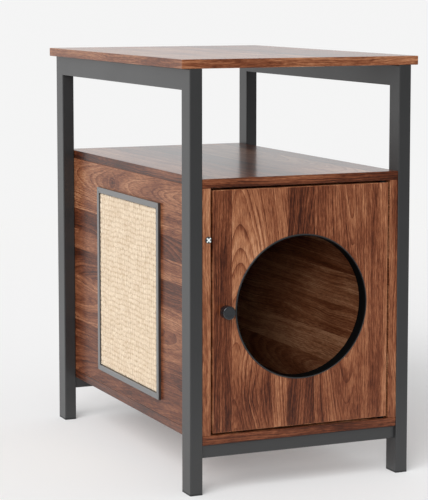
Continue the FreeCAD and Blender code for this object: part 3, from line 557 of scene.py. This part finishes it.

# ---------------------------------------------------------------- screw in the front edge
# One pan-head screw shows in the front edge of the left board. Its head is blackened, and its zinc
# cross recess is coloured a pale cyan-white: a painted highlight.
low, high = (Vector(corner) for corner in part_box("edge_screw"))
head_radius = 0.0055
head_height = 0.002
head_overhang = 0.0010
shank_radius = 0.002
point_length = 0.004
board_inner_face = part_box("left_side_panel")[1][0]
screw_place = (board_inner_face + head_overhang - head_radius, low.y, (low.z + high.z) / 2)
screw_length = high.y - low.y
pan_profile = [(head_radius * 0.86, 0.0), (head_radius * 0.95, -0.0003),
               (head_radius, -0.0008), (head_radius, -head_height), (shank_radius, -head_height),
               (shank_radius, -screw_length + point_length), (0.0004, -screw_length)]
screw_recess = (head_radius * 0.85, head_radius * 0.38, 0.0005)
diagonal = Vector((1, 0, 1)).normalized()
# pale cyan-white zinc for the cross recess: a painted highlight
zinc_recess_painted_highlight = coated("zinc_recess_painted_highlight", (0.78, 0.84, 0.84), 0.45, 420.0, 0.1, 0.05, metallic=0.25)
blackened = coated("blackened_steel", (0.05, 0.052, 0.055), 0.4, 900.0, 0.1, 0.1, metallic=0.5)
piece = driven_pieces("edge_screw_head", [screw_place], Vector((0, -1, 0)), diagonal,
                      pan_profile, screw_recess, (blackened, zinc_recess_painted_highlight), 40)
seat(piece, "cabinet", "zinc_hardware", "edge_screw")

# ---------------------------------------------------------------- door board
# The same board with upright planks and the round hole that the entry ring sits in. Its edges
# are banded and slightly rounded, so its free edge catches the light.
door_low, door_high = (Vector(corner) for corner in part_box("door_panel"))
ring_low, ring_high = (Vector(corner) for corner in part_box("entry_ring"))
entry_centre = (ring_low + ring_high) / 2
door_rounding = 0.0015
sleeve_radius = 0.1181
hole_play = 0.0001
hole_radius = sleeve_radius + hole_play
door_planks = [
    (0.033, 0.24, 1.00, 0.40), (0.100, 0.50, -0.1165, 0.02), (0.050, 0.20, 0.10, 0.25),
    (0.072, 0.41, 0.088, -0.55), (0.045, 0.46, 0.62, 0.40), (0.019, 0.54, 0.90, 0.40),
]
door_knots = [(0.148, -0.090, 0.050)]
door_print = walnut("walnut_door", "Z", "X", door_low.x, door_planks, 0.4, knots=door_knots)
door_band = upright_band("walnut_door_band", 0.5, 8.7)


def draw_out(shape, along):
    """Draws a sheet of faces out by a vector into a closed shape, in the same order each run."""
    sheet = [face.verts[:] for face in shape.faces]
    outline = [edge.verts[:] for edge in shape.edges if edge.is_boundary]
    drawn = {corner: shape.verts.new(corner.co + Vector(along)) for corner in shape.verts[:]}
    for face in sheet:
        shape.faces.new([drawn[corner] for corner in reversed(face)])
    for first, second in outline:
        shape.faces.new((first, second, drawn[second], drawn[first]))


def pierced_board(name, low, high, centre, radius, steps=240):
    """A board with a round hole: a ring of faces from its outline to the hole, drawn back."""
    middle = (low + high) / 2
    half_x, half_z = (high.x - low.x) / 2, (high.z - low.z) / 2
    angles = {round(step * math.tau / steps, 6) for step in range(steps)}
    angles |= {round(math.atan2(z * half_z, x * half_x) % math.tau, 6)
               for x in (-1, 1) for z in (-1, 1)}
    shape = bmesh.new()
    outer, inner = [], []
    for angle in sorted(angles):
        x, z = math.cos(angle), math.sin(angle)
        reach = min(half_x / max(abs(x), 1e-9), half_z / max(abs(z), 1e-9))
        outer.append(shape.verts.new((middle.x + x * reach, low.y, middle.z + z * reach)))
        inner.append(shape.verts.new((centre.x + x * radius, low.y, centre.z + z * radius)))
    count = len(outer)
    for index in range(count):
        following = (index + 1) % count
        shape.faces.new((outer[index], outer[following], inner[following], inner[index]))
    draw_out(shape, (0, high.y - low.y, 0))
    return closed_mesh(name, shape)


door_mesh = pierced_board("door_board", door_low, door_high, entry_centre, hole_radius)
band_edges(door_mesh, 1, door_print, door_band)
door = link("door_board", door_mesh)
round_edges(door, door_rounding, finish=edge_band)
seat(door, "door", "walnut_board", "door_panel")


# ---------------------------------------------------------------- entry ring and its collar
# A black plastic ring with a narrow rounded flange on the door's face and a sleeve through the
# hole. A collar snaps over the sleeve behind the door.
def lathed(name, profile, centre, steps, finish):
    """A closed profile of (radius, y) turned about an axis from front to back."""
    shape = bmesh.new()
    out, side = Vector((0, 1, 0)), Vector((1, 0, 0))
    turned_rings(shape, profile + [profile[0]], steps, centre, out, side)
    bmesh.ops.remove_doubles(shape, verts=shape.verts, dist=1e-7)
    mesh = closed_mesh(name, shape)
    mesh.materials.append(finish)
    for face in mesh.polygons:
        face.use_smooth = True
    mesh.set_sharp_from_angle(angle=turned_edge_angle)
    return link(name, mesh)


def arc(radius_centre, y_centre, radius, start, end, steps=5):
    """Points on an arc of the profile, from one angle to another, in degrees."""
    return [(radius_centre + radius * math.cos(math.radians(start + (end - start) * step / steps)),
             y_centre + radius * math.sin(math.radians(start + (end - start) * step / steps)))
            for step in range(steps + 1)]


turned_edge_angle = math.radians(50)
ring_steps = 160
ring_satin = coated("black_satin_plastic", (0.018, 0.0185, 0.019), 0.34, 1800.0, 0.1,
                    specular=0.4)
# near-black matt, darker than the ring's own black: painted shade for the sleeve's inside; the
# pivot pins use it as plain black
matt_black_and_painted_shade = coated("black_matt_plastic_and_painted_shade", (0.002, 0.002, 0.002), 0.62, 1800.0, 0.2,
                     specular=0.05)
ring_radius = (ring_high.x - ring_low.x) / 2
clear_radius = 0.1165
front, face_y, back = ring_low.y, door_low.y, ring_high.y
proud = face_y - front
ring_axis = Vector((entry_centre.x, 0, entry_centre.z))
ring_profile = (arc(clear_radius + 0.9 * proud, face_y - 0.1 * proud, 0.9 * proud, 180, 270)
                + arc(ring_radius - proud, face_y, proud, 270, 360)
                + [(sleeve_radius, face_y), (sleeve_radius, back), (clear_radius, back)])
piece = lathed("entry_ring_moulding", ring_profile, ring_axis, ring_steps, ring_satin)
# the faces inside the sleeve take the near-black finish: painted shade in the hole
piece.data.materials.append(matt_black_and_painted_shade)
for face in piece.data.polygons:
    if math.hypot(face.center.x - ring_axis.x, face.center.z - ring_axis.z) < sleeve_radius:
        face.material_index = 1
seat(piece, "door", "black_plastic", "entry_ring")
collar_low, collar_high = (Vector(corner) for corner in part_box("ring_collar"))
collar_radius = (collar_high.x - collar_low.x) / 2
collar_rounding = 0.0008
collar_profile = ([(sleeve_radius, collar_low.y), (collar_radius, collar_low.y)]
                  + arc(collar_radius - collar_rounding, collar_high.y - collar_rounding,
                        collar_rounding, 0, 90)
                  + [(sleeve_radius, collar_high.y)])
piece = lathed("ring_collar_moulding", collar_profile, ring_axis, ring_steps, black_plastic)
seat(piece, "door", "black_plastic", "ring_collar")

# ---------------------------------------------------------------- knob
# A plain round knob, turned from steel and coated satin black, with a softly rounded rim. A
# screw through the door holds it.
black_satin = coated("black_satin_metal", (0.009, 0.0105, 0.0125), 0.15, 1300.0, 0.05,
                     specular=0.8)
knob_low, knob_high = (Vector(corner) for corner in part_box("knob"))
knob_radius = (knob_high.x - knob_low.x) / 2
knob_axis = Vector(((knob_low.x + knob_high.x) / 2, 0, (knob_low.z + knob_high.z) / 2))
rim = 0.0016
dish = 0.0003
knob_profile = ([(0.0, knob_low.y + dish), (knob_radius - 3 * rim, knob_low.y + dish / 3)]
                + arc(knob_radius - rim, knob_low.y + rim, rim, 270, 360, 6)
                + [(knob_radius, knob_high.y), (0.0, knob_high.y)])
piece = lathed("door_knob", knob_profile, knob_axis, 64, black_satin)
seat(piece, "door", "black_metal_trim", "knob")

# ---------------------------------------------------------------- hinges and catch
# Blackened pivot pins turn in plastic bushes in the door's top and bottom edges. A magnet in a
# plastic housing on the left board holds the door by a zinc strike plate.
dress(matt_black_and_painted_shade, "lower_pivot_pin", "upper_pivot_pin")
dress(black_plastic, "lower_pivot_bush", "upper_pivot_bush", "catch_housing")
dress(coated("sintered_magnet", (0.09, 0.09, 0.095), 0.5, 1500.0, 0.3, metallic=0.6),
      "catch_magnet")
dress(zinc, "knob_screw", "catch_screws", "strike_plate", "strike_screws")

# ---------------------------------------------------------------- scratch pad frame
# Four mitred bars of steel on the left board, with a glossy black coat, screwed on from the
# cabin.
pad_satin = coated("grey_satin_coat", (0.014, 0.0145, 0.015), 0.34, 700.0, 0.3, 0.15,
                   specular=1.0)
set_inputs(pad_satin.node_tree.nodes["Principled BSDF"], Coat_Weight=1.0, Coat_Roughness=0.25,
           Coat_IOR=1.6)
bar_width = 0.010
bar_rounding = 0.0005
outer_low = Vector(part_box("scratch_frame_front")[0])
outer_high = Vector(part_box("scratch_frame_rear")[1])
corners = [(outer_low.y, outer_low.z), (outer_high.y, outer_low.z),
           (outer_high.y, outer_high.z), (outer_low.y, outer_high.z)]
inner_corners = [(y + bar_width * (1 if y == outer_low.y else -1),
                  z + bar_width * (1 if z == outer_low.z else -1)) for y, z in corners]
for index, node in enumerate(("bottom", "rear", "top", "front")):
    following = (index + 1) % 4
    outline = [corners[index], corners[following], inner_corners[following],
               inner_corners[index]]
    shape = bmesh.new()
    shape.faces.new([shape.verts.new((outer_high.x, y, z)) for y, z in outline])
    draw_out(shape, (outer_low.x - outer_high.x, 0, 0))
    mesh = closed_mesh(f"pad_bar_{node}", shape)
    mesh.materials.append(pad_satin)
    piece = link(f"pad_bar_{node}", mesh)
    round_edges(piece, bar_rounding, 2)
    seat(piece, "cabinet", "black_metal_trim", f"scratch_frame_{node}")
dress(zinc, "scratch_frame_screws")

# ---------------------------------------------------------------- sisal mat
# Natural sisal in a ribbed weave: uneven yarns, three to a stitch, bound over thick level cords
# and glued to a thin backing cloth. The mat lies inside its frame and is held by its edges.
mat_low, mat_high = (Vector(corner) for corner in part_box("sisal_mat"))
row_height = 0.0090
warp_pitch = 0.0030
warps_in_stitch = 3
stitch_pull = 0.00042
stitch_shift = 0.0013
yarn_rise = 0.00085
yarn_jitter = 0.00012
yarn_thickness = 0.00045
cord_thickness = 0.0006
weave_middle = mat_high.x - 0.00105
mat_draw = random.Random(7)


def yarn(shape, points, flat, half_width, half_height, sides=6):
    """A flattened, slightly uneven tube through the points, thick along X by its half height."""
    loops = []
    swell = 1.0
    for point in points:
        swell = 0.6 * swell + 0.4 * (1 + mat_draw.uniform(-0.25, 0.25))
        loops.append([shape.verts.new(point
                                      + flat * (math.cos(math.tau * side / sides)
                                                * half_width * swell)
                                      + Vector((math.sin(math.tau * side / sides)
                                                * half_height * swell, 0, 0)))
                      for side in range(sides)])
    for first, second in zip(loops, loops[1:]):
        for side in range(sides):
            following = (side + 1) % sides
            shape.faces.new((first[side], first[following], second[following], second[side]))
    shape.faces.new(loops[0])
    shape.faces.new(loops[-1])


def woven_mat():
    """Upright yarns, three to a stitch, swell over thick level cords and dip between them."""
    shape = bmesh.new()
    rows = round((mat_high.z - mat_low.z) / row_height)
    warps = round((mat_high.y - mat_low.y) / warp_pitch)
    height = (mat_high.z - mat_low.z) / rows
    width = (mat_high.y - mat_low.y) / warps
    phases = [mat_draw.uniform(0, math.tau) for _ in range(4)]

    def lifted(y, z):
        """The slow waver of the rows, which dies out at the mat's edges."""
        inside = max(0.0, min(1.0, 12 * (z - mat_low.z) / (mat_high.z - mat_low.z),
                              12 * (mat_high.z - z) / (mat_high.z - mat_low.z)))
        return inside * (0.0009 * math.sin(y * 46 + phases[0] + 2.4 * math.sin(z * 10 + phases[1]))
                         + 0.0005 * math.sin(y * 120 + phases[2] + z * 25))

    stitches = [[mat_draw.uniform(-stitch_shift, stitch_shift) for _ in range(warps)]
                for _ in range(rows + 1)]
    swells = [[mat_draw.uniform(0.6, 1.25) for _ in range(warps)] for _ in range(rows + 1)]
    for column in range(warps):
        stitch = column // warps_in_stitch
        from_stitch_middle = column % warps_in_stitch - (warps_in_stitch - 1) / 2
        y = mat_low.y + (column + 0.5) * width - from_stitch_middle * stitch_pull
        points = []
        for step in range(4 * rows + 1):
            row = step // 4
            z = mat_low.z + step * height / 4
            swell = max(0.25, math.sin(math.pi * (step % 4) / 4) ** 0.6 * swells[row][stitch])
            shift = stitches[row][stitch] if 0 < step < 4 * rows else 0.0
            points.append(Vector((weave_middle - yarn_rise * swell,
                                  y + mat_draw.uniform(-yarn_jitter, yarn_jitter),
                                  z + shift + lifted(y, z))))
        yarn(shape, points, Vector((0, 1, 0)), width * 0.50, yarn_thickness)
    for row in range(rows):
        points = []
        for step in range(warps // warps_in_stitch + 1):
            y = mat_low.y + step * (mat_high.y - mat_low.y) / (warps // warps_in_stitch)
            z = mat_low.z + (row + 0.5) * height
            points.append(Vector((weave_middle + 0.0001, y, z + lifted(y, z))))
        yarn(shape, points, Vector((0, 0, 1)), height * 0.48, cord_thickness)
    mesh = closed_mesh("sisal_weave", shape)
    for face in mesh.polygons:
        face.use_smooth = True
    return mesh


def sisal_finish():
    """Pale straw fibres, darkened down between the yarns by painted shade; colour and height vary
    finely.
    """
    material, tree, surface = new_finish("natural_sisal")
    place = tree.nodes.new("ShaderNodeTexCoord").outputs["Object"]
    depth = add_node(tree, "SeparateXYZ", None, Vector=place).outputs["X"]
    # painted shade: the deeper a point lies towards the board, the darker the straw is coloured
    painted_crevice_shade = remapped(tree, depth, weave_middle - 0.0009, weave_middle - 0.0002)
    patches = noise(tree, place, 34.0, 3.0, 0.6)
    yarns = noise(tree, place, 210.0, 2.0, 0.6)
    fibres = noise(tree, place, 1300.0, 2.0, 0.7)
    level = sums(tree, "ADD", scaled(tree, patches, 0.5, 0.7), scaled(tree, yarns, 0.5, 1.3))
    level = sums(tree, "ADD", level, scaled(tree, fibres, 0.5, 1.2))
    straw = blended(tree, "MIX", remapped(tree, level, -0.5, 0.5), (0.55, 0.41, 0.27),
                    (0.83, 0.72, 0.575))
    colour = blended(tree, "MULTIPLY", sums(tree, "MULTIPLY", painted_crevice_shade, 0.8), straw,
                     (0.60, 0.49, 0.38))
    connect(tree, colour, surface.inputs["Base Color"])
    bump = add_node(tree, "Bump", None, Strength=0.6, Distance=0.0004, Height=fibres)
    connect(tree, bump.outputs["Normal"], surface.inputs["Normal"])
    set_inputs(surface, Roughness=0.85, Specular_IOR_Level=0.2, Sheen_Weight=0.1)
    return material


def backing_cloth(thickness=0.00025, step=0.012):
    """The cloth that the yarns are glued to, stretched flat against the board."""
    columns = round((mat_high.y - mat_low.y) / step)
    rows = round((mat_high.z - mat_low.z) / step)
    shape = bmesh.new()
    grid = [[shape.verts.new((mat_high.x - thickness / 2,
                              mat_low.y + (mat_high.y - mat_low.y) * column / columns,
                              mat_low.z + (mat_high.z - mat_low.z) * row / rows))
             for column in range(columns + 1)] for row in range(rows + 1)]
    for row in range(rows):
        for column in range(columns):
            shape.faces.new((grid[row][column], grid[row][column + 1],
                             grid[row + 1][column + 1], grid[row + 1][column]))
    cloth = link("sisal_backing", mesh_of("sisal_backing", shape))
    depth = cloth.modifiers.new("cloth_thickness", "SOLIDIFY")
    depth.thickness = thickness
    depth.offset = 0
    apply_modifiers(cloth)
    return cloth


mat = link("sisal_weave", woven_mat())
mat.data.materials.append(sisal_finish())
seat(mat, "cabinet", "sisal", "sisal_mat")
backing = backing_cloth()
backing.data.materials.append(coated("backing_canvas", (0.30, 0.24, 0.17), 0.9, 900.0, 0.3, 0.15,
                                     specular=0.1))
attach(backing, "cabinet")


# ---------------------------------------------------------------- studio floor
# A wide pale floor that runs out into the pale backdrop. Near the cabinet it keeps the soft
# shadow. The camera sees part of its paleness as its own light, and gloss sees it dimmer ahead.
def dimmed_room(tree, place, near, far, strength):
    """What the camera or gloss sees of the studio at a place, how far gloss dims it toward the
    dark side between two distances, and how pale it then is."""
    light_path = tree.nodes.new("ShaderNodeLightPath")
    in_gloss = light_path.outputs["Is Glossy Ray"]
    seen = sums(tree, "MAXIMUM", light_path.outputs["Is Camera Ray"], in_gloss)
    ahead = add_node(tree, "VectorMath", {"operation": "DOT_PRODUCT"})
    connect(tree, place, ahead.inputs[0])
    connect(tree, dark_side, ahead.inputs[1])
    toward_dark_side = remapped(tree, ahead.outputs["Value"], near, far, 0.0, strength)
    dimmed = sums(tree, "MULTIPLY", toward_dark_side, in_gloss)
    return seen, dimmed, scaled(tree, dimmed, 1.0, -backdrop_level)


dark_side = (0.40, -0.92, 0.0)
backdrop_level = 0.91
floor_half = 3.4
floor_mesh = bpy.data.meshes.new("studio_floor")
floor_mesh.from_pydata([(x * floor_half, y * floor_half, 0)
                        for x, y in ((-1, -1), (1, -1), (1, 1), (-1, 1))], [], [(0, 1, 2, 3)])
floor = link("studio_floor", floor_mesh)
floor_finish, tree, surface = new_finish("pale_studio_floor")
set_inputs(surface, Base_Color=(0.93, 0.93, 0.935, 1), Roughness=0.8, Specular_IOR_Level=0.0)
place = tree.nodes.new("ShaderNodeTexCoord").outputs["Object"]
distance = add_node(tree, "VectorMath", {"operation": "LENGTH"})
connect(tree, place, distance.inputs[0])
fade = remapped(tree, distance.outputs["Value"], 1.1, 3.2, 0.22, 1.0)
seen, dimmed, paleness = dimmed_room(tree, place, 0.3, 1.1, 0.72)
own_light = add_node(tree, "Emission", None, Color=(1, 0.998, 0.993, 1), Strength=paleness)
share = tree.nodes.new("ShaderNodeMixShader")
connect(tree, sums(tree, "MAXIMUM", sums(tree, "MULTIPLY", fade, seen), dimmed), share.inputs[0])
tree.links.new(surface.outputs["BSDF"], share.inputs[1])
tree.links.new(own_light.outputs["Emission"], share.inputs[2])
tree.links.new(share.outputs["Shader"], tree.nodes["Material Output"].inputs["Surface"])
floor_mesh.materials.append(floor_finish)

# ---------------------------------------------------------------- light
# Plain soft studio light: a pale room all round, a broad key light from the left and above, and
# a lower one from the front left that reaches into the cabin.
world = bpy.data.worlds.new("studio_room")
scene.world = world
world.use_nodes = True
tree = world.node_tree
tree.nodes.clear()
room = add_node(tree, "Background", None, Color=(1, 1, 1, 1), Strength=0.52)
direction = tree.nodes.new("ShaderNodeTexCoord").outputs["Generated"]
seen, dimmed, paleness = dimmed_room(tree, direction, -0.05, 0.6, 0.7)
backdrop = add_node(tree, "Background", None, Color=(1, 1, 1, 1), Strength=paleness)
choice = tree.nodes.new("ShaderNodeMixShader")
connect(tree, seen, choice.inputs[0])
tree.links.new(room.outputs["Background"], choice.inputs[1])
tree.links.new(backdrop.outputs["Background"], choice.inputs[2])
output = tree.nodes.new("ShaderNodeOutputWorld")
tree.links.new(choice.outputs["Shader"], output.inputs["Surface"])


def soft_sun(name, toward, strength, spread, in_gloss):
    """A broad distant light that comes from a direction; gloss may show it or not."""
    sun_data = bpy.data.lights.new(name, "SUN")
    sun_data.energy = strength
    sun_data.angle = math.radians(spread)
    sun = bpy.data.objects.new(name, sun_data)
    scene.collection.objects.link(sun)
    sun.rotation_euler = Vector(toward).to_track_quat("Z", "Y").to_euler()
    sun.visible_glossy = in_gloss


soft_sun("key_light", (-0.62, -0.42, 0.66), 1.5, 35, True)
soft_sun("front_light", (-0.50, -0.83, 0.24), 1.7, 22, False)

# ---------------------------------------------------------------- camera
# The cabinet is seen from the front left, from a little above its top, through a long lens that
# is shifted down a little, so that the legs stay nearly parallel.
camera_data = bpy.data.cameras.new("camera")
camera = bpy.data.objects.new("camera", camera_data)
scene.collection.objects.link(camera)
scene.camera = camera
image_height = 500
focal_pixels = 1922.4
camera_data.sensor_width = 36
camera_data.lens = focal_pixels / image_height * camera_data.sensor_width
camera_data.shift_y = -0.10
tilt_down = 0.11036
turn_right = 0.41548
camera.location = (-1.3898, -3.10533, 0.81843)
camera.rotation_euler = (math.pi / 2 - tilt_down, 0, -turn_right)
